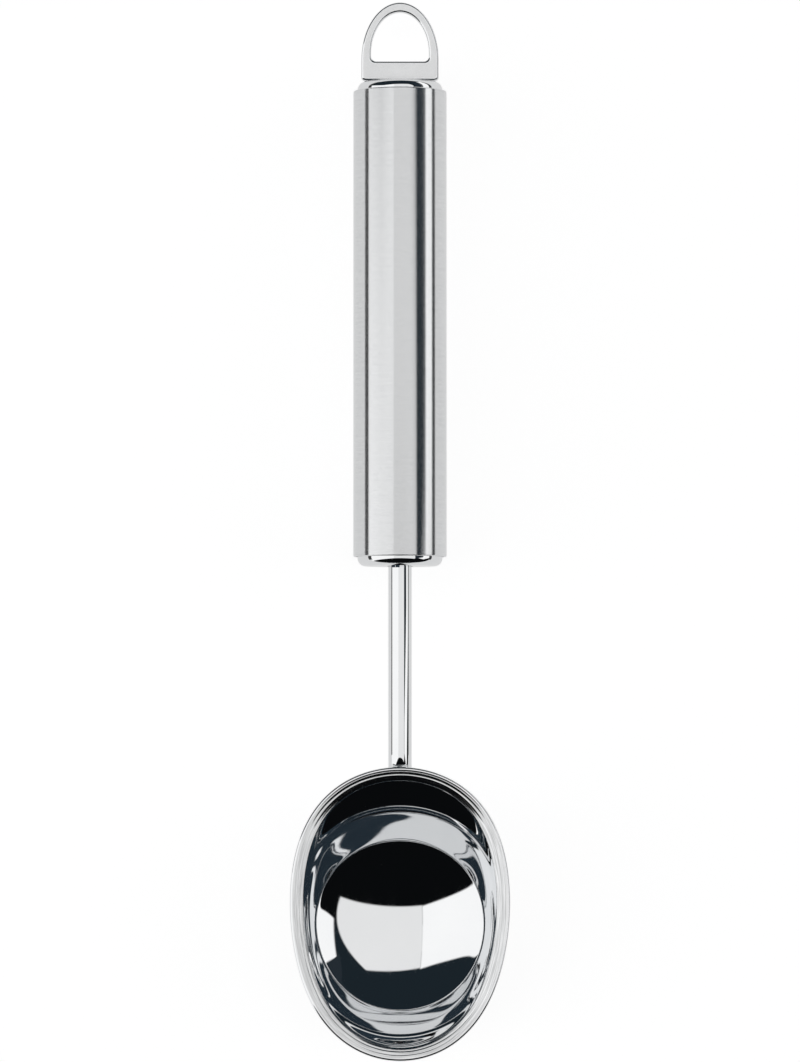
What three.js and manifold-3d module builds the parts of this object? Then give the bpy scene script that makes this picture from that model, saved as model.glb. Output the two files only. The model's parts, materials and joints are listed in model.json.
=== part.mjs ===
// Ice cream spoon: a pressed bowl on a bent round shank, a capped tube handle and a hanging loop.
// Millimetres, +Z up. The spoon lies on a table with the bowl's mouth upwards and the loop towards +Y.
import * as THREE from "three";
import { mergeVertices } from "three/addons/utils/BufferGeometryUtils.js";
import Module from "manifold-3d";

const wasm = await Module();
wasm.setup();

// Handle tube and its two drawn end caps
const TUBE_DIAMETER = 20;
const TUBE_WALL = 0.6;
const TUBE_LENGTH = 100;
const FIT_GAP = 0.3;
const CAP_SHEET = 0.8;
const CAP_REACH = 2;
const CAP_CORNER = 1.7;
const CAP_SKIRT = 8;
const LEAST_INSIDE_CORNER = 0.2;
const SLOT_CUT_DEPTH = 3.2;

// Shank: a round rod that holds the bowl and runs into the handle
const SHANK_DIAMETER = 5;
const SHANK_FREE_LENGTH = 43;
const SHANK_INSIDE = 36;
const SHANK_BEND_RADIUS = 12;
const SHANK_END_ROUND = 0.6;
const FOOT_FROM = 2;
const FOOT_POINTS = 5;

// Inner cup that steadies the shank inside the tube
const SUPPORT_FROM_END = 30;
const SUPPORT_SKIRT = 5;

// Weld beads
const BOWL_BEAD_DIAMETER = 1.8;
const BOWL_BEAD_OFFSET = 3.3;
const BOWL_BEAD_GAP = 0.2;
const WELD_LEG = 1.6;
const WELD_HOLLOW = 0.45;

// Hanging loop: a flat plate with a D-shaped eye and a tenon that passes through the upper cap
const LOOP_WIDTH = 16.6;
const LOOP_ARCH_HEIGHT = 12.3;
const LOOP_SIDE_HEIGHT = 4.5;
const LOOP_THICKNESS = 2.4;
const LOOP_BAND = 2.1;
const LOOP_BASE_BAR = 4.1;
const LOOP_EDGE_ROUND = 0.45;
const LOOP_CORNER = 0.7;
const EYE_CORNER = 1.1;
const EYE_SIDE_HEIGHT = 1.8;
const TENON_WIDTH = 8;
const TENON_THICKNESS = 1.4;
const TENON_SHOW = 1.4;

// Bowl: the rim outline is an egg, widest a little nearer the shank
const BOWL_WIDTH = 46.7;
const BOWL_LENGTH = 62.5;
const EGG_LEAN = 0.059;
const EGG_FULLNESS = 0.137;
const BOWL_SHEET = 1;
const RIM_ABOVE_SHANK = 3.2;
const FLANGE_WIDTH = 2.8;
const FLANGE_DISH_DEGREES = 12;
const BOWL_DEPTH = 18;
const BOTTOM_CURVE_RADIUS = 37;
const BOTTOM_PLAN_RADIUS = 18.2;
const BOTTOM_TOWARDS_TIP = 2.9;

// Wall rings between the mouth and the round bottom, as shares of the way on each side of the bowl
const WALL_RINGS = [
  { drop: 0.02, side: 0.0, heel: 0.0, tip: 0.0, egg: 1.0 },
  { drop: 0.1, side: 0.05, heel: 0.16, tip: 0.04, egg: 1.0 },
  { drop: 0.22, side: 0.2, heel: 0.44, tip: 0.33, egg: 0.9 },
  { drop: 0.56, side: 0.3, heel: 0.62, tip: 0.54, egg: 0.6 },
  { drop: 0.94, side: 0.95, heel: 0.935, tip: 0.93, egg: 0.3 },
];
const FLANGE_RINGS = [0, 0.3, 0.65, 0.9];
const FOOT_EGG = 0.3;
const BOTTOM_RINGS = [0.97, 0.8, 0.6, 0.4, 0.2];

// Fineness of the round surfaces
const TURN_STEPS = 40;
const BOWL_STEPS = 56;
const BOWL_SPAN_STEPS = 2;
const ROD_STEPS = 24;
const BEAD_STEPS = 12;
const SMALL_ANGLE = 0.01;
const BEND_STEPS = 10;
const CORNER_STEPS = 4;
const LOOP_EDGE_STEPS = 2;
const LOOP_CURVE_STEPS = 12;

const tubeRadius = TUBE_DIAMETER / 2;
const boreRadius = tubeRadius - TUBE_WALL;
const capRadius = boreRadius - FIT_GAP;
const shankRadius = SHANK_DIAMETER / 2;
const shankHole = shankRadius + FIT_GAP;
const heelY = -CAP_REACH - SHANK_FREE_LENGTH;
const bowlY = heelY - BOWL_LENGTH / 2;
const degrees = Math.PI / 180;

// Solids

function plainGeometry(positions, index) {
  const geometry = new THREE.BufferGeometry();
  geometry.setAttribute("position", new THREE.Float32BufferAttribute(positions, 3));
  geometry.setIndex(index);
  return geometry;
}

function solidFrom(geometry) {
  const bare = new THREE.BufferGeometry();
  const flat = geometry.index ? geometry.toNonIndexed() : geometry;
  bare.setAttribute("position", flat.getAttribute("position"));
  const merged = mergeVertices(bare, 1e-4);
  const corners = [];
  for (let i = 0; i < merged.index.count; i += 3) {
    const [a, b, c] = [0, 1, 2].map((k) => merged.index.getX(i + k));
    if (a !== b && b !== c && a !== c) corners.push(a, b, c);
  }
  return new wasm.Manifold(
    new wasm.Mesh({
      numProp: 3,
      vertProperties: merged.attributes.position.array,
      triVerts: new Uint32Array(corners),
    }),
  );
}

function geometryFrom(solid) {
  const mesh = solid.getMesh();
  return plainGeometry(Array.from(mesh.vertProperties), Array.from(mesh.triVerts));
}

// A closed skin over rings of points, from the point `start` to the point `end`
function skin(rings, start, end) {
  const count = rings[0].length;
  const points = [start, ...rings.flat(), end];
  const index = [];
  const last = points.length - 1;
  for (let j = 0; j < count; j += 1) {
    const next = (j + 1) % count;
    index.push(0, 1 + j, 1 + next);
    for (let i = 0; i + 1 < rings.length; i += 1) {
      const near = 1 + i * count;
      const far = near + count;
      index.push(near + j, far + j, far + next);
      index.push(near + j, far + next, near + next);
    }
    const edge = last - count;
    index.push(edge + j, last, edge + next);
  }
  return plainGeometry(points.flatMap((p) => p.toArray()), index);
}

// A ring or cup turned about the handle's axis from a closed outline of [radius, y] points
function turned(outline) {
  const points = outline.map(([radius, y]) => new THREE.Vector2(radius, y));
  return new THREE.LatheGeometry([...points, points[0]], TURN_STEPS);
}

// A round bar along stations of {at, side, up}, with a small rounding at both ends
function roundBar(stations, radius, steps, endRound) {
  const ring = (station, share) =>
    Array.from({ length: steps }, (_, k) => {
      const angle = (2 * Math.PI * k) / steps;
      return station.at
        .clone()
        .addScaledVector(station.side, share * radius * Math.cos(angle))
        .addScaledVector(station.up, -share * radius * Math.sin(angle));
    });
  const inset = 1 - endRound / radius;
  const along = (from, to) => to.at.clone().sub(from.at).normalize().multiplyScalar(endRound);
  const first = stations[0];
  const last = stations[stations.length - 1];
  const firstIn = { ...first, at: first.at.clone().add(along(first, stations[1])) };
  const lastIn = { ...last, at: last.at.clone().add(along(last, stations[stations.length - 2])) };
  const rings = [
    ring(first, inset),
    ring(firstIn, 1),
    ...stations.slice(1, -1).map((station) => ring(station, 1)),
    ring(lastIn, 1),
    ring(last, inset),
  ];
  return skin(rings, first.at, last.at);
}

// Bowl surface: a smooth skin through control rings, from the rim's edge down to the middle of the bottom

const flange = FLANGE_WIDTH - BOWL_SHEET / 2;
const dish = Math.tan(FLANGE_DISH_DEGREES * degrees);
const mouthZ = -flange * dish;

function bowlControls() {
  const halfWidth = BOWL_WIDTH / 2 - BOWL_SHEET / 2;
  const halfLength = BOWL_LENGTH / 2 - BOWL_SHEET / 2;
  const rings = FLANGE_RINGS.map((share) => ({
    side: halfWidth - share * flange,
    heel: halfLength - share * flange,
    tip: halfLength - share * flange,
    z: -share * flange * dish,
    egg: 1,
  }));
  const mouth = {
    side: halfWidth - flange,
    heel: halfLength - flange,
    tip: halfLength - flange,
    z: mouthZ,
  };
  const sag = (radius) => BOTTOM_CURVE_RADIUS - Math.sqrt(BOTTOM_CURVE_RADIUS ** 2 - radius ** 2);
  const bottomRing = (radius) => ({
    side: radius,
    heel: radius - BOTTOM_TOWARDS_TIP,
    tip: radius + BOTTOM_TOWARDS_TIP,
    z: mouthZ - BOWL_DEPTH + sag(radius),
    egg: 0,
  });
  const foot = bottomRing(BOTTOM_PLAN_RADIUS);
  const part = (key, share) => mouth[key] + (foot[key] - mouth[key]) * share;
  for (const ring of WALL_RINGS) {
    rings.push({
      side: part("side", ring.side),
      heel: part("heel", ring.heel),
      tip: part("tip", ring.tip),
      z: part("z", ring.drop),
      egg: ring.egg,
    });
  }
  rings.push({ ...foot, egg: FOOT_EGG });
  for (const share of BOTTOM_RINGS) rings.push(bottomRing(share * BOTTOM_PLAN_RADIUS));
  return rings;
}

function controlPoint(ring, angle) {
  const along = Math.cos(angle);
  const lean = 1 + ring.egg * (EGG_LEAN * along + EGG_FULLNESS * along ** 2);
  return new THREE.Vector3(
    ring.side * Math.sin(angle) * lean,
    (ring.heel - ring.tip) / 2 + ((ring.heel + ring.tip) / 2) * along,
    ring.z,
  );
}

// A uniform cubic spline: the weights of four neighbouring control points at t from 0 to 1
function splineWeights(t) {
  return [
    (1 - t) ** 3 / 6,
    (3 * t ** 3 - 6 * t ** 2 + 4) / 6,
    (-3 * t ** 3 + 3 * t ** 2 + 3 * t + 1) / 6,
    t ** 3 / 6,
  ];
}

const controls = bowlControls();
const deepest = new THREE.Vector3(0, -BOTTOM_TOWARDS_TIP, mouthZ - BOWL_DEPTH);
const bowlMiddle = deepest.clone().setZ((2 * deepest.z + controls[controls.length - 1].z) / 3);

// The inner face along one angle, from the rim's edge to the middle of the bottom
function innerLine(angle) {
  const points = controls.map((ring) => controlPoint(ring, angle));
  const innermost = points[points.length - 1];
  const before = points[0].clone().multiplyScalar(2).sub(points[1]);
  const beyond = deepest.clone().multiplyScalar(2).sub(innermost).setZ(innermost.z);
  const all = [before, ...points, deepest, beyond];
  const line = [];
  for (let i = 0; i + 3 < all.length; i += 1) {
    for (let k = 0; k < BOWL_SPAN_STEPS; k += 1) {
      const weights = splineWeights(k / BOWL_SPAN_STEPS);
      const point = new THREE.Vector3();
      weights.forEach((weight, j) => point.addScaledVector(all[i + j], weight));
      line.push(point);
    }
  }
  return line;
}

// One section of the bowl at an angle, from the rim's edge inwards: the face that looks up and the one a sheet below
function bowlSection(angle) {
  const inner = innerLine(angle);
  const before = innerLine(angle - SMALL_ANGLE);
  const after = innerLine(angle + SMALL_ANGLE);
  const normals = inner.map((_, i) => {
    const out = inner[Math.max(i - 1, 0)].clone().sub(inner[Math.min(i + 1, inner.length - 1)]);
    return after[i].clone().sub(before[i]).cross(out).normalize();
  });
  const outer = inner.map((point, i) => point.clone().addScaledVector(normals[i], -BOWL_SHEET));
  return { inner, normals, outer };
}

function bowlGeometry() {
  const sections = Array.from({ length: BOWL_STEPS }, (_, j) => bowlSection((2 * Math.PI * j) / BOWL_STEPS));
  const inner = sections[0].inner.map((_, i) => sections.map((section) => section.inner[i]));
  const outer = sections[0].outer.map((_, i) => sections.map((section) => section.outer[i]));
  const coarse = outer.filter((_, i) => i % BOWL_SPAN_STEPS === 0);
  const edge = [];
  for (let k = CORNER_STEPS - 1; k > 0; k -= 1) {
    const turn = (Math.PI * k) / CORNER_STEPS;
    edge.push(
      sections.map(({ inner: line, normals }) =>
        line[0]
          .clone()
          .addScaledVector(normals[0], (BOWL_SHEET / 2) * (Math.cos(turn) - 1))
          .addScaledVector(line[0].clone().sub(line[1]).normalize(), (BOWL_SHEET / 2) * Math.sin(turn)),
      ),
    );
  }
  const rings = [...coarse.reverse(), ...edge, ...inner];
  return skin(rings, bowlMiddle.clone().setZ(bowlMiddle.z - BOWL_SHEET), bowlMiddle);
}

// The heel wall of one section, where the shank's foot and its weld beads lie
function heelWall(angle) {
  const first = FLANGE_RINGS.length * BOWL_SPAN_STEPS + FOOT_FROM;
  const last = first + FOOT_POINTS;
  const { outer, normals } = bowlSection(angle);
  return { points: outer.slice(first, last), normals: normals.slice(first, last) };
}

// Shank

function shankStations() {
  const wall = heelWall(0).points;
  const upper = wall[0];
  const lower = wall[wall.length - 1];
  const slope = lower.clone().sub(upper).normalize();
  const away = new THREE.Vector3(0, -slope.z, slope.y);
  const bulge = Math.max(...wall.map((point) => point.clone().sub(upper).dot(away)));
  const offset = upper.clone().addScaledVector(away, bulge + shankRadius + FIT_GAP);
  const axisZ = -RIM_ABOVE_SHANK;
  const corner = offset.clone().addScaledVector(slope, (axisZ - offset.z) / slope.z);
  const bend = Math.atan2(-slope.z, -slope.y);
  const tangent = SHANK_BEND_RADIUS * Math.tan(bend / 2);
  const centre = new THREE.Vector3(0, corner.y + tangent, axisZ - SHANK_BEND_RADIUS);
  const side = new THREE.Vector3(1, 0, 0);
  const station = (at, angle) => ({
    at,
    side,
    up: new THREE.Vector3(0, -Math.sin(angle), Math.cos(angle)),
  });
  const stations = [station(new THREE.Vector3(0, SHANK_INSIDE - bowlY, axisZ), 0)];
  for (let k = 0; k <= BEND_STEPS; k += 1) {
    const angle = (bend * k) / BEND_STEPS;
    const at = centre
      .clone()
      .add(new THREE.Vector3(0, -Math.sin(angle), Math.cos(angle)).multiplyScalar(SHANK_BEND_RADIUS));
    stations.push(station(at, angle));
  }
  const foot = lower.clone().sub(offset).dot(slope);
  stations.push(station(offset.clone().addScaledVector(slope, foot), bend));
  return stations;
}

// A weld bead in the corner between the shank's foot and the bowl, on the side of `sign`
function bowlBead(sign) {
  const radius = BOWL_BEAD_DIAMETER / 2;
  const wall = heelWall((sign * BOWL_BEAD_OFFSET) / (BOWL_WIDTH / 2 - FLANGE_WIDTH));
  const points = wall.points.map((point, k) =>
    point.clone().addScaledVector(wall.normals[k], -radius - BOWL_BEAD_GAP),
  );
  const stations = points.map((at, k) => {
    const along = points[Math.min(k + 1, points.length - 1)].clone().sub(points[Math.max(k - 1, 0)]).normalize();
    const side = wall.normals[k].clone().cross(along).normalize();
    return { at, side, up: along.clone().cross(side) };
  });
  return roundBar(stations, radius, BEAD_STEPS, radius / 2);
}

// Caps, support cup and weld rings

// A drawn cup open towards +Y whose end face stands at `endY`, with a hole of radius `hole`
function cupOutline(endY, depth, corner, hole) {
  const outer = [];
  const inner = [];
  for (let k = 0; k <= CORNER_STEPS; k += 1) {
    const angle = ((Math.PI / 2) * k) / CORNER_STEPS;
    const inside = Math.max(corner - CAP_SHEET, LEAST_INSIDE_CORNER);
    outer.push([capRadius - corner + corner * Math.sin(angle), endY + corner - corner * Math.cos(angle)]);
    inner.push([
      capRadius - CAP_SHEET - inside + inside * Math.sin(angle),
      endY + CAP_SHEET + inside - inside * Math.cos(angle),
    ]);
  }
  return [
    [hole, endY],
    ...outer,
    [capRadius, endY + depth],
    [capRadius - CAP_SHEET, endY + depth],
    ...inner.reverse(),
    [hole, endY + CAP_SHEET],
  ];
}

// A weld ring round the shank that lies on a face at `faceY`
function weldRing(faceY) {
  const foot = faceY + FIT_GAP;
  return turned([
    [shankHole, foot],
    [shankHole + WELD_LEG, foot],
    [shankHole + WELD_HOLLOW * WELD_LEG, foot + WELD_HOLLOW * WELD_LEG],
    [shankHole, foot + WELD_LEG],
  ]);
}

function tubeGeometry() {
  return turned([
    [tubeRadius, 0],
    [tubeRadius, TUBE_LENGTH],
    [boreRadius, TUBE_LENGTH],
    [boreRadius, 0],
  ]);
}

function box(width, length, height, y) {
  return solidFrom(new THREE.BoxGeometry(width, length, height).translate(0, y, 0));
}

function upperCapGeometry() {
  const cup = turned(cupOutline(-CAP_REACH, CAP_SKIRT + CAP_REACH, CAP_CORNER, 0));
  const capEnd = TUBE_LENGTH + CAP_REACH;
  const placed = solidFrom(cup.rotateX(Math.PI).translate(0, TUBE_LENGTH, 0));
  const slot = box(TENON_WIDTH + 2 * FIT_GAP, SLOT_CUT_DEPTH, TENON_THICKNESS + 2 * FIT_GAP, capEnd);
  return geometryFrom(placed.subtract(slot));
}

// Hanging loop

function archShape(halfWidth, archHeight, footY, archY, corner) {
  const shape = new THREE.Shape();
  shape.moveTo(-halfWidth + corner, footY);
  shape.lineTo(halfWidth - corner, footY);
  shape.quadraticCurveTo(halfWidth, footY, halfWidth, footY + corner);
  shape.lineTo(halfWidth, archY);
  shape.absellipse(0, archY, halfWidth, archHeight, 0, Math.PI, false);
  shape.lineTo(-halfWidth, footY + corner);
  shape.quadraticCurveTo(-halfWidth, footY, -halfWidth + corner, footY);
  return shape;
}

function loopGeometry() {
  const footY = TUBE_LENGTH + CAP_REACH + FIT_GAP;
  const archY = footY + LOOP_SIDE_HEIGHT;
  const plate = archShape(LOOP_WIDTH / 2, LOOP_ARCH_HEIGHT, footY, archY, LOOP_CORNER);
  const eyeFoot = footY + LOOP_BASE_BAR;
  const eyeWidest = eyeFoot + EYE_SIDE_HEIGHT;
  const eyeHeight = archY + LOOP_ARCH_HEIGHT - LOOP_BAND - eyeWidest;
  plate.holes.push(archShape(LOOP_WIDTH / 2 - LOOP_BAND, eyeHeight, eyeFoot, eyeWidest, EYE_CORNER));
  const geometry = new THREE.ExtrudeGeometry(plate, {
    depth: LOOP_THICKNESS - 2 * LOOP_EDGE_ROUND,
    bevelThickness: LOOP_EDGE_ROUND,
    bevelSize: LOOP_EDGE_ROUND,
    bevelOffset: -LOOP_EDGE_ROUND,
    bevelSegments: LOOP_EDGE_STEPS,
    curveSegments: LOOP_CURVE_STEPS,
  }).translate(0, 0, LOOP_EDGE_ROUND - LOOP_THICKNESS / 2);
  const tenonFoot = TUBE_LENGTH + CAP_REACH - CAP_SHEET - TENON_SHOW;
  const tenonLength = eyeFoot - LOOP_BASE_BAR / 2 - tenonFoot;
  const tenon = box(TENON_WIDTH, tenonLength, TENON_THICKNESS, tenonFoot + tenonLength / 2);
  return geometryFrom(solidFrom(geometry).add(tenon));
}

function loopWeldGeometry() {
  const outline = (grow) => {
    const x = TENON_WIDTH / 2 + FIT_GAP + grow;
    const z = TENON_THICKNESS / 2 + FIT_GAP + grow;
    return [
      new THREE.Vector2(-x, -z),
      new THREE.Vector2(x, -z),
      new THREE.Vector2(x, z),
      new THREE.Vector2(-x, z),
    ];
  };
  const ring = new THREE.Shape(outline(WELD_LEG));
  ring.holes.push(new THREE.Path(outline(0)));
  const face = TUBE_LENGTH + CAP_REACH - CAP_SHEET - FIT_GAP;
  const height = TENON_SHOW - FIT_GAP;
  return new THREE.ExtrudeGeometry(ring, { depth: height, bevelEnabled: false })
    .rotateX(Math.PI / 2)
    .translate(0, face, 0);
}

// Assembly

const polished = new THREE.MeshStandardMaterial({ color: 0xd6d8da, metalness: 1, roughness: 0.05 });
const brushed = new THREE.MeshStandardMaterial({ color: 0xc9cbcd, metalness: 1, roughness: 0.3 });
const welded = new THREE.MeshStandardMaterial({ color: 0x9b9893, metalness: 1, roughness: 0.45 });

const spoon = new THREE.Group();
spoon.name = "ice_cream_spoon";
const bowlGroup = new THREE.Group();
bowlGroup.position.set(0, bowlY, RIM_ABOVE_SHANK);
spoon.add(bowlGroup);

function place(name, geometry, material, parent = spoon) {
  const mesh = new THREE.Mesh(geometry, material);
  mesh.name = name;
  parent.add(mesh);
}

const supportFace = SUPPORT_FROM_END + CAP_SHEET;
place("bowl", bowlGeometry(), polished, bowlGroup);
place("shank", roundBar(shankStations(), shankRadius, ROD_STEPS, SHANK_END_ROUND), polished, bowlGroup);
place("bowl_weld_left", bowlBead(-1), welded, bowlGroup);
place("bowl_weld_right", bowlBead(1), welded, bowlGroup);
place("lower_end_cap", turned(cupOutline(-CAP_REACH, CAP_SKIRT + CAP_REACH, CAP_CORNER, shankHole)), polished);
place("lower_cap_weld", weldRing(CAP_SHEET - CAP_REACH), welded);
place("shank_support", turned(cupOutline(SUPPORT_FROM_END, SUPPORT_SKIRT, CAP_CORNER, shankHole)), brushed);
place("support_weld", weldRing(supportFace), welded);
place("handle_tube", tubeGeometry(), brushed);
place("upper_end_cap", upperCapGeometry(), polished);
place("hanging_loop", loopGeometry(), brushed);
place("loop_weld", loopWeldGeometry(), welded);

// Rest pose: the spoon turns until the bowl's bottom and the far end of the tube both touch the table
const bottomRadius = BOTTOM_CURVE_RADIUS + BOWL_SHEET;
const bottomCentre = new THREE.Vector2(
  bowlY - BOTTOM_TOWARDS_TIP,
  RIM_ABOVE_SHANK + bowlMiddle.z - BOWL_SHEET + bottomRadius,
);
const tubeCorner = new THREE.Vector2(TUBE_LENGTH, -tubeRadius);
const between = tubeCorner.clone().sub(bottomCentre);
spoon.rotation.x = -(Math.atan2(between.y, between.x) + Math.asin(bottomRadius / between.length()));

const root = new THREE.Group();
root.add(spoon);
root.updateMatrixWorld(true);
const extent = new THREE.Box3().setFromObject(root, true);
const middleY = (extent.min.y + extent.max.y) / 2;
spoon.position.set(0, -middleY, -extent.min.z);

export default root;
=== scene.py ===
# Ice cream spoon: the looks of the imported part. Metres, +Z up, the hanging loop towards +Y.
import json
import math

import bpy
from mathutils import Matrix, Vector


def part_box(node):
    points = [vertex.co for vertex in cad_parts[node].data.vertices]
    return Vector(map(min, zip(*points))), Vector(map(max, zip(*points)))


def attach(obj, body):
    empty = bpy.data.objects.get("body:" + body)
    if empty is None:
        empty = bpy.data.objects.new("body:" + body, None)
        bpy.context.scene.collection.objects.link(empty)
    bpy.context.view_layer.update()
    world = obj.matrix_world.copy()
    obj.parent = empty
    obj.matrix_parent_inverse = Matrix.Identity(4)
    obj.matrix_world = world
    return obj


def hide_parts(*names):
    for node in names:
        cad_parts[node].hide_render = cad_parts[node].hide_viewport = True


MM = 0.001

# Sizes of the spoon in millimetres, as in the part's source
TUBE_DIAMETER = 20.0
TUBE_WALL = 0.6
TUBE_LENGTH = 100.0
TUBE_EDGE_ROUND = 0.25
FIT_GAP = 0.3
CAP_SHEET = 0.8
CAP_REACH = 2.0
CAP_CORNER = 1.7
CAP_SKIRT = 8.0
SHANK_DIAMETER = 5.0
SHANK_FREE_LENGTH = 43.0
SHANK_INSIDE = 36.0
SHANK_BEND_RADIUS = 12.0
SHANK_END_ROUND = 0.6
FOOT_SPAN_STEPS = 2
FOOT_FROM = 2
FOOT_POINTS = 5
LOOP_WIDTH = 16.6
LOOP_ARCH_HEIGHT = 12.3
LOOP_SIDE_HEIGHT = 4.5
LOOP_THICKNESS = 2.4
LOOP_BAND = 2.1
LOOP_BASE_BAR = 4.1
LOOP_EDGE_ROUND = 0.45
LOOP_CORNER = 0.7
EYE_CORNER = 1.1
EYE_SIDE_HEIGHT = 1.8
TENON_WIDTH = 8.0
TENON_THICKNESS = 1.4
TENON_SHOW = 1.4
SLOT_CUT_DEPTH = 3.2
BEAD_DIAMETER = 1.8
BEAD_OFFSET = 3.3
BEAD_GAP = 0.2
BEAD_RIPPLES = 9
BEAD_RIPPLE_DEPTH = 0.1

# Bowl in millimetres
BOWL_WIDTH = 46.7
BOWL_LENGTH = 62.5
EGG_LEAN = 0.059
EGG_FULLNESS = 0.137
BOWL_SHEET = 1.0
RIM_ABOVE_SHANK = 3.2
FLANGE_WIDTH = 2.8
FLANGE_DISH = math.radians(12.0)
BOWL_DEPTH = 18.0
BOTTOM_CURVE_RADIUS = 37.0
BOTTOM_PLAN_RADIUS = 18.2
BOTTOM_TOWARDS_TIP = 2.9
WALL_RINGS = (
    dict(drop=0.02, side=0.0, heel=0.0, tip=0.0, egg=1.0),
    dict(drop=0.1, side=0.05, heel=0.16, tip=0.04, egg=1.0),
    dict(drop=0.22, side=0.2, heel=0.44, tip=0.33, egg=0.9),
    dict(drop=0.56, side=0.3, heel=0.62, tip=0.54, egg=0.6),
    dict(drop=0.94, side=0.95, heel=0.935, tip=0.93, egg=0.3),
)
FLANGE_RINGS = (0.0, 0.3, 0.65, 0.9)
FOOT_EGG = 0.3
BOTTOM_RINGS = (0.97, 0.8, 0.6, 0.4, 0.2)

# Pressing lines that run round the flange: distance from the edge, half width and height
FLANGE_LINES = ((0.5, 0.15, 0.024), (1.25, 0.19, 0.042), (2.3, 0.16, 0.065))

# Fineness
BOWL_STEPS = 160
FLANGE_SPAN_STEPS = 9
WALL_SPAN_STEPS = 5
OUTER_EVERY = 3
TURN_STEPS = 128
ROD_STEPS = 64
BEND_STEPS = 24
CORNER_STEPS = 10
BEAD_STEPS = 24
FOOT_STEPS = 10
SIDE_STEPS = 6
ARCH_STEPS = 36
SMALL_ANGLE = 0.01
TURN_SHARP = math.radians(50)
FLAT_NORMAL = 0.999
SKIN_SHARP = math.radians(40)

# Steels: where a noise's values mostly lie, and how far fine lines smear reflections
NOISE_RANGE = (0.3, 0.7)
LINE_SMEAR = 0.95

tube_radius = TUBE_DIAMETER / 2
bore_radius = tube_radius - TUBE_WALL
cap_radius = bore_radius - FIT_GAP
shank_radius = SHANK_DIAMETER / 2
shank_hole = shank_radius + FIT_GAP
heel_y = -CAP_REACH - SHANK_FREE_LENGTH
bowl_y = heel_y - BOWL_LENGTH / 2
flange = FLANGE_WIDTH - BOWL_SHEET / 2
mouth_z = -flange * math.tan(FLANGE_DISH)
cap_end = TUBE_LENGTH + CAP_REACH
loop_foot = cap_end + FIT_GAP
arch_y = loop_foot + LOOP_SIDE_HEIGHT
loop_top = arch_y + LOOP_ARCH_HEIGHT
eye_foot = loop_foot + LOOP_BASE_BAR
eye_widest = eye_foot + EYE_SIDE_HEIGHT
half_eye = LOOP_WIDTH / 2 - LOOP_BAND

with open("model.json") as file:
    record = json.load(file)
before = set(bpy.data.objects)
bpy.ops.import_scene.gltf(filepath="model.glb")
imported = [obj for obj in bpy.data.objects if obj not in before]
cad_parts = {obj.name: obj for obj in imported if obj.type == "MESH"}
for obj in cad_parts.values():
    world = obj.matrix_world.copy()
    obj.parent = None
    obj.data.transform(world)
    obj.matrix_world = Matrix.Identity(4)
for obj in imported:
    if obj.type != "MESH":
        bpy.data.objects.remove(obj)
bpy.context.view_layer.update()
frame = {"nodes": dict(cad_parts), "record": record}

# The handle's place: its tube gives the middle, the loop's flat front gives the tilt
tube_low, tube_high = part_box("handle_tube")
loop_front = next(m for m in frame["record"]["mounts"] if m["name"] == "loop_front")
tilt = -math.atan2(loop_front["axis"][1], loop_front["axis"][2])
pose = (
    Matrix.Translation((tube_low + tube_high) / 2)
    @ Matrix.Rotation(tilt, 4, "X")
    @ Matrix.Scale(MM, 4)
    @ Matrix.Translation((0, -TUBE_LENGTH / 2, 0))
)
bowl_place = Matrix.Translation((0, bowl_y, RIM_ABOVE_SHANK))


# Node helpers


def add_node(tree, kind, inputs=None, **settings):
    node = tree.nodes.new(kind)
    for key, value in settings.items():
        setattr(node, key, value)
    for key, value in (inputs or {}).items():
        socket = node.inputs[key]
        if isinstance(value, bpy.types.NodeSocket):
            tree.links.new(value, socket)
        else:
            socket.default_value = value
    return node


def math_node(tree, operation, *values):
    return add_node(tree, "ShaderNodeMath", dict(enumerate(values)), operation=operation).outputs[0]


def mix_colour(tree, share, first, second):
    node = add_node(tree, "ShaderNodeMix", data_type="RGBA")
    for name, value in (("Factor_Float", share), ("A_Color", first), ("B_Color", second)):
        socket = next(s for s in node.inputs if s.identifier == name)
        if isinstance(value, bpy.types.NodeSocket):
            tree.links.new(value, socket)
        else:
            socket.default_value = value
    return next(s for s in node.outputs if s.identifier == "Result_Color")


def grey(level, blue=0.0):
    return (level * (1 - blue), level, level * (1 + blue), 1.0)


def spread(tree, value, low, high, from_low=0.0, from_high=1.0):
    inputs = {"Value": value, "From Min": from_low, "From Max": from_high, "To Min": low, "To Max": high}
    return add_node(tree, "ShaderNodeMapRange", inputs).outputs["Result"]


def new_material(name):
    material = bpy.data.materials.new(name)
    material.use_nodes = True
    shader = material.node_tree.nodes["Principled BSDF"]
    shader.inputs["Metallic"].default_value = 1.0
    return material, material.node_tree, shader


def noise(tree, vector, scale, detail, stretch=(1.0, 1.0, 1.0)):
    mapped = add_node(tree, "ShaderNodeMapping", {"Vector": vector, "Scale": stretch}).outputs[0]
    inputs = {"Vector": mapped, "Scale": scale, "Detail": detail}
    return add_node(tree, "ShaderNodeTexNoise", inputs).outputs[0]


# Materials


def object_place(tree):
    return add_node(tree, "ShaderNodeTexCoord").outputs["Object"]


def from_noise(tree, value, low, high):
    """Spreads noise, which lies mostly inside NOISE_RANGE, over a range."""
    return spread(tree, value, low, high, *NOISE_RANGE)


def set_steel(tree, shader, colour, rough, height=None, strength=0.0, distance=0.0):
    """Links colour, roughness and a fine relief into a steel."""
    tree.links.new(colour, shader.inputs["Base Color"])
    tree.links.new(rough, shader.inputs["Roughness"])
    if height is not None:
        bump = {"Strength": strength, "Distance": distance, "Height": height}
        tree.links.new(add_node(tree, "ShaderNodeBump", bump).outputs[0], shader.inputs["Normal"])


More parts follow.
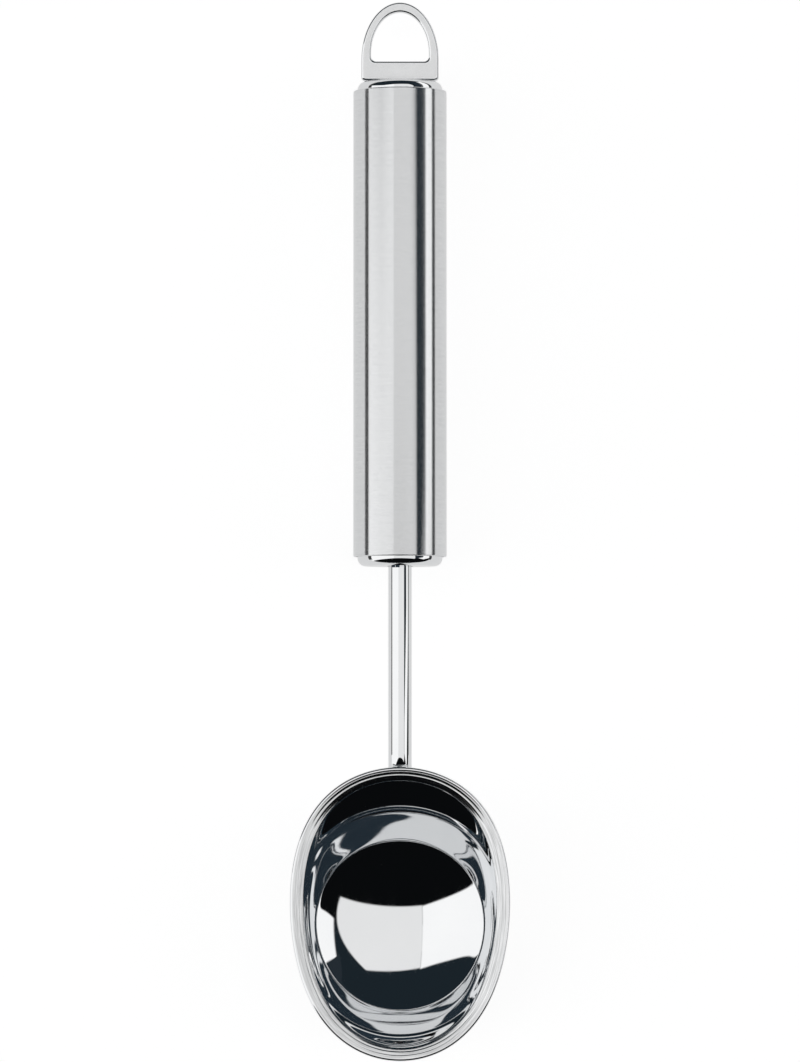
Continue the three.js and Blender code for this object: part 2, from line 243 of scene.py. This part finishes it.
def polished_steel(name, light, dark, rough_low, rough_high):
    """Mirror finish: faint cloudy colour, a little haze and hair-thin polishing marks."""
    material, tree, shader = new_material(name)
    place = object_place(tree)
    cloud = noise(tree, place, 90.0, 4.0)
    marks = noise(tree, place, 900.0, 3.0, (1.0, 0.12, 1.0))
    colour = mix_colour(tree, cloud, grey(dark, 0.012), grey(light, 0.006))
    set_steel(tree, shader, colour, from_noise(tree, marks, rough_low, rough_high), marks, 0.03, 0.00002)
    return material


def lined_steel(name, hairs, bands, dark, rough, bump_strength):
    """Fine lines round a piece, which smear reflections across them.

    `hairs` and `bands` count the fine and the broad lines per mm and per turn.
    """
    material, tree, shader = new_material(name)
    uv = add_node(tree, "ShaderNodeUVMap", uv_map="UVMap").outputs[0]
    fine = noise(tree, uv, 1.0, 3.0, (*hairs, 1.0))
    broad = noise(tree, uv, 1.0, 2.0, (*bands, 1.0))
    lines = math_node(tree, "MULTIPLY_ADD", fine, 0.7, math_node(tree, "MULTIPLY", broad, 0.3))
    tone = from_noise(tree, lines, 0.0, 1.0)
    colour = mix_colour(tree, tone, grey(dark, 0.012), grey(0.9, 0.006))
    set_steel(tree, shader, colour, from_noise(tree, lines, *rough), lines, bump_strength, 0.00001)
    shader.inputs["Anisotropic"].default_value = LINE_SMEAR
    tangent = add_node(tree, "ShaderNodeTangent", direction_type="UV_MAP", uv_map="UVMap").outputs[0]
    tree.links.new(tangent, shader.inputs["Tangent"])
    return material


def satin_steel(name):
    """Bead-blasted plate: an even, fine-grained silky grey."""
    material, tree, shader = new_material(name)
    place = object_place(tree)
    grain = noise(tree, place, 3200.0, 2.0)
    cloud = noise(tree, place, 260.0, 3.0)
    tone = math_node(tree, "MULTIPLY_ADD", grain, 0.65, math_node(tree, "MULTIPLY", cloud, 0.35))
    tone = from_noise(tree, tone, 0.0, 1.0)
    colour = mix_colour(tree, tone, grey(0.84, 0.008), grey(0.95, 0.004))
    set_steel(tree, shader, colour, from_noise(tree, grain, 0.3, 0.42), grain, 0.15, 0.00002)
    return material


def weld_steel(name):
    """Cleaned weld metal: straw and grey tints over a rippled, half-matt surface."""
    material, tree, shader = new_material(name)
    place = object_place(tree)
    cloud = noise(tree, place, 700.0, 4.0)
    grain = noise(tree, place, 5000.0, 2.0)
    tone = spread(tree, cloud, 0.0, 1.0, 0.35, 0.65)
    colour = mix_colour(tree, tone, (0.42, 0.41, 0.4, 1), (0.66, 0.62, 0.56, 1))
    set_steel(tree, shader, colour, from_noise(tree, cloud, 0.28, 0.5), grain, 0.3, 0.00004)
    return material


def inner_steel(name):
    """Bare drawn sheet inside the handle: dull, with faint drawing marks."""
    material, tree, shader = new_material(name)
    marks = noise(tree, object_place(tree), 500.0, 4.0, (1.0, 0.2, 1.0))
    colour = mix_colour(tree, marks, grey(0.5), grey(0.68))
    set_steel(tree, shader, colour, from_noise(tree, marks, 0.35, 0.5))
    return material


# Mesh helpers


def skin(name, rings, wrap=False, start=None, end=None, sharp=SKIN_SHARP):
    """A smooth mesh over rings of points. U runs across the rings in mm, V from 0 to 1 round each."""
    count = len(rings[0])
    points = [point for ring in rings for point in ring]
    along = [0.0]
    for near, far in zip(rings, rings[1:] + rings[:1]):
        along.append(along[-1] + (far[0] - near[0]).length)
    faces = []
    coords = []
    for i in range(len(rings) if wrap else len(rings) - 1):
        far = (i + 1) % len(rings)
        for j in range(count):
            k = (j + 1) % count
            faces.append((i * count + j, far * count + j, far * count + k, i * count + k))
            v0, v1 = j / count, (j + 1) / count
            coords += [(along[i], v0), (along[i + 1], v0), (along[i + 1], v1), (along[i], v1)]
    for pole, ring, turn in ((start, 0, 1), (end, len(rings) - 1, -1)):
        if pole is None:
            continue
        points.append(pole)
        for j in range(count):
            corners = (ring * count + j, ring * count + (j + 1) % count)
            faces.append((len(points) - 1, *corners[::turn]))
            coords += [(along[ring], (j + 0.5) / count)] * 3
    mesh = bpy.data.meshes.new(name)
    mesh.from_pydata(points, [], faces)
    layer = mesh.uv_layers.new(name="UVMap")
    for corner, uv in zip(layer.data, coords):
        corner.uv = uv
    mesh.shade_smooth()
    mesh.set_sharp_from_angle(angle=sharp)
    return mesh


def turned(name, outline, y_sign=1, y_from=0.0, poles=None):
    """A ring or cup turned about the handle's axis from (radius, y) points, with or without poles."""
    rings = []
    for radius, y in outline:
        ring = []
        for k in range(TURN_STEPS):
            angle = 2 * math.pi * k / TURN_STEPS
            x, z = radius * math.sin(angle), y_sign * radius * math.cos(angle)
            ring.append(Vector((x, y_from + y_sign * y, z)))
        rings.append(ring)
    if poles is None:
        return skin(name, rings, wrap=True, sharp=TURN_SHARP)
    start, end = (Vector((0, y_from + y_sign * y, 0)) for y in poles)
    return skin(name, rings, start=start, end=end, sharp=TURN_SHARP)


def block(width, length, height, y_middle):
    """A plain box across the handle's axis, as a tool for cutting and joining."""
    mesh = bpy.data.meshes.new("block")
    corners = [(x, y, z) for x in (-0.5, 0.5) for y in (-0.5, 0.5) for z in (-0.5, 0.5)]
    points = [(x * width, y_middle + y * length, z * height) for x, y, z in corners]
    faces = [(0, 1, 3, 2), (4, 6, 7, 5), (0, 4, 5, 1), (2, 3, 7, 6), (0, 2, 6, 4), (1, 5, 7, 3)]
    mesh.from_pydata(points, [], faces)
    return mesh


def combined(mesh, tool, operation):
    """The mesh with the tool cut out or joined on, as one closed skin."""
    name = mesh.name
    items = [bpy.data.objects.new(part.name, part) for part in (mesh, tool)]
    for item in items:
        bpy.context.scene.collection.objects.link(item)
    modifier = items[0].modifiers.new("combine", "BOOLEAN")
    modifier.object = items[1]
    modifier.operation = operation
    modifier.solver = "EXACT"
    graph = bpy.context.evaluated_depsgraph_get()
    result = bpy.data.meshes.new_from_object(items[0].evaluated_get(graph))
    for item in items:
        bpy.data.objects.remove(item)
    for part in (mesh, tool):
        bpy.data.meshes.remove(part)
    result.name = name
    result.materials.clear()
    result.set_sharp_from_angle(angle=TURN_SHARP)
    return result


def bar(name, stations, ends):
    """A round bar along stations of (centre, side, up, radius), closed by the two `ends`."""
    rings = []
    for centre, side, up, radius in stations:
        ring = []
        for k in range(ROD_STEPS):
            angle = 2 * math.pi * k / ROD_STEPS
            ring.append(centre + side * (radius * math.cos(angle)) - up * (radius * math.sin(angle)))
        rings.append(ring)
    return skin(name, rings, start=ends[0], end=ends[1])


def rounded_ends(stations, end_round):
    """Adds a quarter-round at both ends of a bar's stations."""
    def cap(last, before):
        centre, side, up, radius = last
        along = (centre - before[0]).normalized()
        rows = []
        for k in range(CORNER_STEPS + 1):
            angle = math.pi / 2 * k / CORNER_STEPS
            at = centre + along * (end_round * (math.sin(angle) - 1))
            rows.append((at, side, up, radius - end_round * (1 - math.cos(angle))))
        return rows
    first = cap(stations[0], stations[1])[::-1]
    last = cap(stations[-1], stations[-2])
    return first + list(stations[1:-1]) + last


def add_piece(mesh, materials, node, place=Matrix.Identity(4)):
    mesh.transform(pose @ place)
    for material in materials:
        mesh.materials.append(material)
    piece = bpy.data.objects.new(mesh.name, mesh)
    bpy.context.scene.collection.objects.link(piece)
    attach(piece, "root")
    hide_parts(node)


# Bowl


def bowl_controls():
    half_width = (BOWL_WIDTH - BOWL_SHEET) / 2
    half_length = (BOWL_LENGTH - BOWL_SHEET) / 2
    rings = []
    for share in FLANGE_RINGS:
        inset = share * flange
        end = half_length - inset
        rings.append(dict(side=half_width - inset, heel=end, tip=end, z=share * mouth_z, egg=1.0))
    mouth = dict(side=half_width - flange, heel=half_length - flange, tip=half_length - flange, z=mouth_z)

    def bottom_ring(radius):
        sag = BOTTOM_CURVE_RADIUS - math.sqrt(BOTTOM_CURVE_RADIUS**2 - radius**2)
        heel, tip = radius - BOTTOM_TOWARDS_TIP, radius + BOTTOM_TOWARDS_TIP
        return dict(side=radius, heel=heel, tip=tip, z=mouth_z - BOWL_DEPTH + sag, egg=0.0)

    foot = bottom_ring(BOTTOM_PLAN_RADIUS)
    for wall in WALL_RINGS:
        ring = {key: mouth[key] + (foot[key] - mouth[key]) * wall[key] for key in ("side", "heel", "tip")}
        rings.append(dict(ring, z=mouth_z + (foot["z"] - mouth_z) * wall["drop"], egg=wall["egg"]))
    rings.append(dict(foot, egg=FOOT_EGG))
    rings += [bottom_ring(share * BOTTOM_PLAN_RADIUS) for share in BOTTOM_RINGS]
    return rings


controls = bowl_controls()
deepest = Vector((0, -BOTTOM_TOWARDS_TIP, mouth_z - BOWL_DEPTH))
bowl_middle = Vector((0, -BOTTOM_TOWARDS_TIP, (2 * deepest.z + controls[-1]["z"]) / 3))


def control_point(ring, angle):
    along = math.cos(angle)
    lean = 1 + ring["egg"] * (EGG_LEAN * along + EGG_FULLNESS * along**2)
    y = (ring["heel"] - ring["tip"]) / 2 + (ring["heel"] + ring["tip"]) / 2 * along
    return Vector((ring["side"] * math.sin(angle) * lean, y, ring["z"]))


def spline_weights(t):
    first = (1 - t) ** 3 / 6
    second = (3 * t**3 - 6 * t**2 + 4) / 6
    third = (-3 * t**3 + 3 * t**2 + 3 * t + 1) / 6
    return first, second, third, t**3 / 6


def inner_line(angle, flange_steps, wall_steps):
    """The inner face along one angle, from the rim's edge to the middle of the bottom."""
    points = [control_point(ring, angle) for ring in controls]
    beyond = 2 * deepest - points[-1]
    beyond.z = points[-1].z
    points = [2 * points[0] - points[1], *points, deepest, beyond]
    line = []
    for i in range(len(points) - 3):
        steps = flange_steps if i <= len(FLANGE_RINGS) else wall_steps
        for k in range(steps):
            weights = spline_weights(k / steps)
            line.append(sum((points[i + j] * weights[j] for j in range(4)), Vector()))
    return line


def bowl_section(angle, flange_steps, wall_steps):
    """One section of the bowl: its upper face, that face's normals and the face a sheet below."""
    inner = inner_line(angle, flange_steps, wall_steps)
    before = inner_line(angle - SMALL_ANGLE, flange_steps, wall_steps)
    after = inner_line(angle + SMALL_ANGLE, flange_steps, wall_steps)
    normals = []
    for i in range(len(inner)):
        out = inner[max(i - 1, 0)] - inner[min(i + 1, len(inner) - 1)]
        normals.append((after[i] - before[i]).cross(out).normalized())
    outer = [point - normal * BOWL_SHEET for point, normal in zip(inner, normals)]
    return inner, normals, outer


def pressed(inner, normals):
    """Raises the pressing lines on the flange."""
    length = 0.0
    raised = [inner[0]]
    for i in range(1, len(inner)):
        length += (inner[i] - inner[i - 1]).length
        lift = sum(high * math.exp(-(((length - at) / wide) ** 2)) for at, wide, high in FLANGE_LINES)
        raised.append(inner[i] + normals[i] * lift)
    return raised


def bowl_mesh():
    columns = []
    for j in range(BOWL_STEPS):
        angle = 2 * math.pi * j / BOWL_STEPS
        inner, normals, outer = bowl_section(angle, FLANGE_SPAN_STEPS, WALL_SPAN_STEPS)
        outward = (inner[0] - inner[1]).normalized()
        edge = []
        for k in range(CORNER_STEPS - 1, 0, -1):
            turn = math.pi * k / CORNER_STEPS
            across = normals[0] * (BOWL_SHEET / 2 * (math.cos(turn) - 1))
            edge.append(inner[0] + across + outward * (BOWL_SHEET / 2 * math.sin(turn)))
        columns.append(outer[::OUTER_EVERY][::-1] + edge + pressed(inner, normals))
    rings = [list(ring) for ring in zip(*columns)]
    below = bowl_middle - Vector((0, 0, BOWL_SHEET))
    mesh = skin("bowl_polished", rings, start=below, end=bowl_middle)
    flange_first = len(outer[::OUTER_EVERY]) + len(edge)
    flange_last = flange_first + FLANGE_SPAN_STEPS * len(FLANGE_RINGS)
    for polygon in mesh.polygons[flange_first * BOWL_STEPS : flange_last * BOWL_STEPS]:
        polygon.material_index = 1
    return mesh


# Shank and the weld beads on the bowl


def heel_wall(angle):
    """The outside of the heel wall where the shank's foot lies, and its normals."""
    first = len(FLANGE_RINGS) * FOOT_SPAN_STEPS + FOOT_FROM
    last = first + FOOT_POINTS
    _, normals, outer = bowl_section(angle, FOOT_SPAN_STEPS, FOOT_SPAN_STEPS)
    return outer[first:last], normals[first:last]


def shank_mesh():
    wall, _ = heel_wall(0.0)
    upper, lower = wall[0], wall[-1]
    slope = (lower - upper).normalized()
    away = Vector((0, -slope.z, slope.y))
    bulge = max((point - upper).dot(away) for point in wall)
    offset = upper + away * (bulge + shank_radius + FIT_GAP)
    axis_z = -RIM_ABOVE_SHANK
    corner = offset + slope * ((axis_z - offset.z) / slope.z)
    bend = math.atan2(-slope.z, -slope.y)
    centre = Vector((0, corner.y + SHANK_BEND_RADIUS * math.tan(bend / 2), axis_z - SHANK_BEND_RADIUS))
    side = Vector((1, 0, 0))

    def station(at, angle):
        return at, side, Vector((0, -math.sin(angle), math.cos(angle))), shank_radius

    stations = [station(Vector((0, SHANK_INSIDE - bowl_y, axis_z)), 0.0)]
    for k in range(BEND_STEPS + 1):
        angle = bend * k / BEND_STEPS
        spoke = Vector((0, -math.sin(angle), math.cos(angle)))
        stations.append(station(centre + spoke * SHANK_BEND_RADIUS, angle))
    stations.append(station(offset + slope * (lower - offset).dot(slope), bend))
    ends = stations[0][0], stations[-1][0]
    return bar("shank_polished", rounded_ends(stations, SHANK_END_ROUND), ends)


def bead_mesh(name, sign):
    """A weld bead in the corner between shank and bowl, with the ripples of its run."""
    radius = BEAD_DIAMETER / 2
    wall, normals = heel_wall(sign * BEAD_OFFSET / (BOWL_WIDTH / 2 - FLANGE_WIDTH))
    centres = [point - normal * (radius + BEAD_GAP) for point, normal in zip(wall, normals)]
    stations = []
    for k in range(BEAD_STEPS * (len(centres) - 1) + 1):
        i = min(k // BEAD_STEPS, len(centres) - 2)
        share = k / BEAD_STEPS - i
        centre = centres[i].lerp(centres[i + 1], share)
        along = (centres[i + 1] - centres[i]).normalized()
        side = normals[i].lerp(normals[i + 1], share).cross(along).normalized()
        run = (i + share) / (len(centres) - 1)
        ripple = abs(math.sin(math.pi * BEAD_RIPPLES * run)) - 1
        stations.append((centre, side, along.cross(side), radius + BEAD_RIPPLE_DEPTH * ripple))
    ends = stations[0][0], stations[-1][0]
    return bar(name, rounded_ends(stations, radius / 2), ends)


# Handle tube and caps


def tube_mesh():
    edge = TUBE_EDGE_ROUND
    outline = []
    for y, sign in ((0.0, 1), (TUBE_LENGTH, -1)):
        rows = []
        for k in range(CORNER_STEPS + 1):
            angle = math.pi / 2 * k / CORNER_STEPS
            radius = tube_radius - edge + edge * math.sin(angle)
            rows.append((radius, y + sign * edge * (1 - math.cos(angle))))
        outline += rows[::sign]
    outline += [(bore_radius, TUBE_LENGTH), (bore_radius, 0.0)]
    return turned("handle_brushed", outline)


def cap_outline(hole=None):
    """A drawn cup, closed or with a hole. Its end face stands CAP_REACH out of the tube, at negative y."""
    outer = []
    inner = []
    inside = CAP_CORNER - CAP_SHEET
    for k in range(CORNER_STEPS + 1):
        angle = math.pi / 2 * k / CORNER_STEPS
        outer.append((cap_radius - CAP_CORNER * (1 - math.sin(angle)), CAP_CORNER * (1 - math.cos(angle))))
        bend = cap_radius - CAP_SHEET - inside * (1 - math.sin(angle))
        inner.append((bend, CAP_SHEET + inside * (1 - math.cos(angle))))
    depth = CAP_SKIRT + CAP_REACH
    rows = [*outer, (cap_radius, depth), (cap_radius - CAP_SHEET, depth), *inner[::-1]]
    if hole:
        rows = [(hole, 0.0), *rows, (hole, CAP_SHEET)]
    return [(radius, y - CAP_REACH) for radius, y in rows]


def upper_cap_mesh():
    """The closed upper cap with the slot for the loop's tongue."""
    poles = -CAP_REACH, CAP_SHEET - CAP_REACH
    cap = turned("upper_cap_polished", cap_outline(), -1, TUBE_LENGTH, poles)
    slot = block(TENON_WIDTH + 2 * FIT_GAP, SLOT_CUT_DEPTH, TENON_THICKNESS + 2 * FIT_GAP, cap_end)
    return combined(cap, slot, "DIFFERENCE")


# Hanging loop


def arch_points(half_width, arch_height, foot_y, arch_y, corner):
    """The outline of a D, from the middle of its foot to the right and round."""
    half = []
    for k in range(FOOT_STEPS):
        half.append(((half_width - corner) * k / FOOT_STEPS, foot_y))
    for k in range(CORNER_STEPS):
        angle = math.pi / 2 * k / CORNER_STEPS
        half.append((half_width - corner * (1 - math.sin(angle)), foot_y + corner * (1 - math.cos(angle))))
    for k in range(SIDE_STEPS):
        half.append((half_width, foot_y + corner + (arch_y - foot_y - corner) * k / SIDE_STEPS))
    for k in range(ARCH_STEPS + 1):
        angle = math.pi / 2 * k / ARCH_STEPS
        half.append((half_width * math.cos(angle), arch_y + arch_height * math.sin(angle)))
    return half + [(-x, y) for x, y in half[-2:0:-1]]


def outside(inset):
    """The loop's outer outline, drawn in by the inset."""
    height = LOOP_ARCH_HEIGHT - inset
    return arch_points(LOOP_WIDTH / 2 - inset, height, loop_foot + inset, arch_y, max(LOOP_CORNER, inset))


def eye(inset):
    """The eye's outline, widened by the inset."""
    height = loop_top - LOOP_BAND + inset - eye_widest
    return arch_points(half_eye + inset, height, eye_foot - inset, eye_widest, EYE_CORNER)


def loop_mesh():
    half = LOOP_THICKNESS / 2
    rounding = []
    for k in range(CORNER_STEPS + 1):
        angle = math.pi / 2 * k / CORNER_STEPS
        inset = LOOP_EDGE_ROUND * (1 - math.sin(angle))
        rounding.append((inset, half - LOOP_EDGE_ROUND * (1 - math.cos(angle))))
    section = [(outside, inset, z) for inset, z in rounding]
    section += [(outside, inset, -z) for inset, z in rounding[::-1]]
    section += [(eye, inset, -z) for inset, z in rounding]
    section += [(eye, inset, z) for inset, z in rounding[::-1]]
    rings = [[Vector((x, y, z)) for x, y in outline(inset)] for outline, inset, z in section]
    plate = skin("hanging_loop_satin", rings, wrap=True)
    tongue_foot = cap_end - CAP_SHEET - TENON_SHOW
    tongue_length = loop_foot + LOOP_BASE_BAR / 2 - tongue_foot
    tongue = block(TENON_WIDTH, tongue_length, TENON_THICKNESS, tongue_foot + tongue_length / 2)
    mesh = combined(plate, tongue, "UNION")
    for polygon in mesh.polygons:
        polygon.material_index = 0 if abs(polygon.normal.z) > FLAT_NORMAL else 1
    return mesh


# Pieces

polished = polished_steel("polished_steel", 0.9, 0.84, 0.015, 0.05)
flange_finish = lined_steel("flange_steel", (5.0, 30.0), (2.2, 8.0), 0.5, (0.03, 0.12), 0.06)
brushed = lined_steel("brushed_steel", (12.0, 40.0), (3.0, 9.0), 0.74, (0.18, 0.24), 0.04)
satin = satin_steel("satin_steel")
weld = weld_steel("weld_steel")
bare = inner_steel("inner_steel")

add_piece(bowl_mesh(), (polished, flange_finish), "bowl", bowl_place)
add_piece(shank_mesh(), (polished,), "shank", bowl_place)
add_piece(bead_mesh("weld_bead_left", -1), (weld,), "bowl_weld_left", bowl_place)
add_piece(bead_mesh("weld_bead_right", 1), (weld,), "bowl_weld_right", bowl_place)
lower_cap = turned("lower_cap_polished", cap_outline(shank_hole))
add_piece(lower_cap, (polished,), "lower_end_cap")
add_piece(tube_mesh(), (brushed,), "handle_tube")
add_piece(upper_cap_mesh(), (polished,), "upper_end_cap")
add_piece(loop_mesh(), (satin, polished), "hanging_loop")

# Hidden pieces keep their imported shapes
HIDDEN_FINISHES = dict(lower_cap_weld=weld, support_weld=weld, loop_weld=weld, shank_support=bare)
for node, material in HIDDEN_FINISHES.items():
    slots = frame["nodes"][node].data.materials
    slots.clear()
    slots.append(material)

# Camera, straight above the middle of the spoon

IMAGE_HEIGHT = 1062
FOCAL_PIXELS = 5900
CAMERA_HEIGHT = 1.277
CAMERA_ALONG = -0.00026
SENSOR_HEIGHT = 24.0
CLIP_END = 100
camera_data = bpy.data.cameras.new("camera")
camera_data.sensor_fit = "VERTICAL"
camera_data.sensor_height = SENSOR_HEIGHT
camera_data.lens = SENSOR_HEIGHT * FOCAL_PIXELS / IMAGE_HEIGHT
camera_data.clip_end = CLIP_END
camera = bpy.data.objects.new("camera", camera_data)
camera.location = (0, CAMERA_ALONG, CAMERA_HEIGHT)
bpy.context.scene.collection.objects.link(camera)
bpy.context.scene.camera = camera

# Studio: softboxes and cards round a black room, given as angles in degrees
# "right" turns from straight up towards +X, "along" turns towards +Y
# An edge is one angle, or a curve over the other angle: constant, slope and bend
# Walls that mirror each other see a darker room: a card with a `depth` shows from that ray depth on
# Here the ray depth is one more than the number of mirrorings

SOFTBOX = grey(1.06)
DUSK = grey(0.035, 0.35)
ROOM_ALONG = (0.012, 0.019, 0.025, 1)
ROOM_BACK = (0.003, 0.0035, 0.004, 1)
ROOM_BLEND = 5.0
EDGE_SOFTNESS = 1.2
STUDIO_CARDS = (
    dict(light=SOFTBOX, left=-118, right=-15, low=(-7.5, 0.32, 0), high=17.5),
    dict(light=SOFTBOX, left=-47, right=-15, low=0, high=(34.7, 0.365, 0)),
    dict(light=grey(0.88), left=-15, right=(41.7, -0.19, -0.0125), low=(-12, 0, -0.0035),
         high=(30.75, 0.0728, -0.0052)),
    dict(light=SOFTBOX, left=44.5, right=72, low=(51.1, -1.632, 0.0085), high=(8.2, 0.24, 0)),
    dict(light=DUSK, left=-180, right=-61, low=-40, high=40, depth=3),
    dict(light=DUSK, left=67, right=180, low=-40, high=40, depth=3),
    dict(light=DUSK, left=-75, right=(-3.5, -0.25, 0.04), low=-30, high=17.5, depth=3),
    dict(light=SOFTBOX, left=-70, right=-52.5, low=(-28.5, -0.6, 0), high=11, depth=3),
    dict(light=SOFTBOX, left=-49, right=-45, low=-5, high=4.5, depth=3),
    dict(light=DUSK, left=10, right=40, low=-5, high=11, depth=4),
)


def studio_world():
    world = bpy.data.worlds.new("studio")
    world.use_nodes = True
    tree = world.node_tree
    direction = add_node(tree, "ShaderNodeTexCoord").outputs["Generated"]
    axes = add_node(tree, "ShaderNodeSeparateXYZ", {0: direction}).outputs
    right = math_node(tree, "DEGREES", math_node(tree, "ARCTAN2", axes["X"], axes["Z"]))
    along = math_node(tree, "DEGREES", math_node(tree, "ARCSINE", axes["Y"]))

    def edge(value, over, curve, sign):
        curve = curve if isinstance(curve, tuple) else (curve, 0, 0)
        bend = math_node(tree, "MULTIPLY_ADD", over, curve[2], curve[1])
        line = math_node(tree, "MULTIPLY_ADD", over, bend, curve[0])
        inside = math_node(tree, "MULTIPLY", math_node(tree, "SUBTRACT", value, line), sign)
        return spread(tree, inside, 0.0, 1.0, -EDGE_SOFTNESS / 2, EDGE_SOFTNESS / 2)

    path = add_node(tree, "ShaderNodeLightPath").outputs
    room = spread(tree, along, 0.0, 1.0, -ROOM_BLEND, ROOM_BLEND)
    colour = mix_colour(tree, room, ROOM_BACK, ROOM_ALONG)
    for card in STUDIO_CARDS:
        mask = edge(right, along, card["left"], 1.0)
        mask = math_node(tree, "MULTIPLY", mask, edge(right, along, card["right"], -1.0))
        mask = math_node(tree, "MULTIPLY", mask, edge(along, right, card["low"], 1.0))
        mask = math_node(tree, "MULTIPLY", mask, edge(along, right, card["high"], -1.0))
        if "depth" in card:
            often = math_node(tree, "GREATER_THAN", path["Ray Depth"], card["depth"] - 0.5)
            mask = math_node(tree, "MULTIPLY", mask, often)
        colour = mix_colour(tree, mask, colour, card["light"])
    background = tree.nodes["Background"]
    tree.links.new(mix_colour(tree, path["Is Camera Ray"], colour, grey(1.0)), background.inputs["Color"])
    bpy.context.scene.world = world


studio_world()


# Floor: white paper that keeps a soft share of the spoon's shadow, and looks brighter to the camera

FLOOR_HALF = 30.0
FLOOR_PAPER = grey(0.85)
FLOOR_SHADE = 0.35
FLOOR_GLOW = 1.36
FLOOR_MIRRORED = 0.98


def stage_mesh(name, points, faces, material):
    mesh = bpy.data.meshes.new(name)
    mesh.from_pydata(points, [], faces)
    mesh.materials.append(material)
    item = bpy.data.objects.new(name, mesh)
    bpy.context.scene.collection.objects.link(item)
    return item


def stage_material(name):
    material = bpy.data.materials.new(name)
    material.use_nodes = True
    tree = material.node_tree
    tree.nodes.remove(tree.nodes["Principled BSDF"])
    return material, tree, tree.nodes["Material Output"].inputs["Surface"]


def floor_material():
    material, tree, surface = stage_material("white_floor")
    path = add_node(tree, "ShaderNodeLightPath").outputs
    seen = math_node(tree, "MAXIMUM", path["Is Camera Ray"], path["Is Glossy Ray"])
    seen = math_node(tree, "MAXIMUM", seen, path["Is Transmission Ray"])
    paper = add_node(tree, "ShaderNodeBsdfDiffuse", {"Color": FLOOR_PAPER}).outputs[0]
    strength = spread(tree, path["Is Camera Ray"], FLOOR_MIRRORED, FLOOR_GLOW)
    glow = add_node(tree, "ShaderNodeEmission", {"Color": grey(1.0), "Strength": strength}).outputs[0]
    share = math_node(tree, "MULTIPLY", seen, 1 - FLOOR_SHADE)
    mixed = add_node(tree, "ShaderNodeMixShader", {0: share, 1: paper, 2: glow}).outputs[0]
    tree.links.new(mixed, surface)
    return material


floor_corners = [(x * FLOOR_HALF, y * FLOOR_HALF, 0) for x, y in ((-1, -1), (1, -1), (1, 1), (-1, 1))]
stage_mesh("floor", floor_corners, [(0, 1, 2, 3)], floor_material())

# Backdrop panels beside the handle, far enough up the spoon that the bowl's bottom doesn't mirror them
# Angles turn round the handle from straight up to the right
# `near` is the Y of a panel's end towards the bowl, at its first and its last angle

PANEL_STEPS = 8
PANEL_RADIUS = 140.0
PANEL_FAR = 300.0
HANDLE_PANELS = (
    dict(name="left_flag", angles=(-94, -82), near=(-55, -55), light=grey(0.05)),
    dict(name="flag", angles=(41, 59), near=(-41, -14), light=grey(0.028, 0.28)),
    dict(name="flag_edge", angles=(59, 64.5), near=(-14, -5), light=grey(0.1, 0.05)),
    dict(name="right_box", angles=(64.5, 84), near=(-59, -12), light=SOFTBOX),
    dict(name="right_flag", angles=(84, 94), near=(-55, -55), light=grey(0.04, 0.05)),
)


def panel_material(name, light):
    material, tree, surface = stage_material(name)
    material.cycles.emission_sampling = "NONE"
    tree.links.new(add_node(tree, "ShaderNodeEmission", {"Color": light}).outputs[0], surface)
    return material


def backdrop_panel(name, angles, near, light):
    """A panel along the handle between two angles, seen only in the steel."""
    points = []
    for k in range(PANEL_STEPS + 1):
        along = k / PANEL_STEPS
        angle = math.radians(angles[0] + (angles[1] - angles[0]) * along)
        low = near[0] + (near[1] - near[0]) * along
        x, z = PANEL_RADIUS * math.sin(angle), PANEL_RADIUS * math.cos(angle)
        points += [pose @ Vector((x, y, z)) for y in (low, PANEL_FAR)]
    faces = [(2 * k, 2 * k + 1, 2 * k + 3, 2 * k + 2) for k in range(PANEL_STEPS)]
    item = stage_mesh("panel_" + name, points, faces, panel_material(name, light))
    for kind in ("camera", "diffuse", "transmission", "volume_scatter", "shadow"):
        setattr(item, "visible_" + kind, False)


for panel in HANDLE_PANELS:
    backdrop_panel(**panel)

bpy.context.scene.view_settings.view_transform = "Standard"
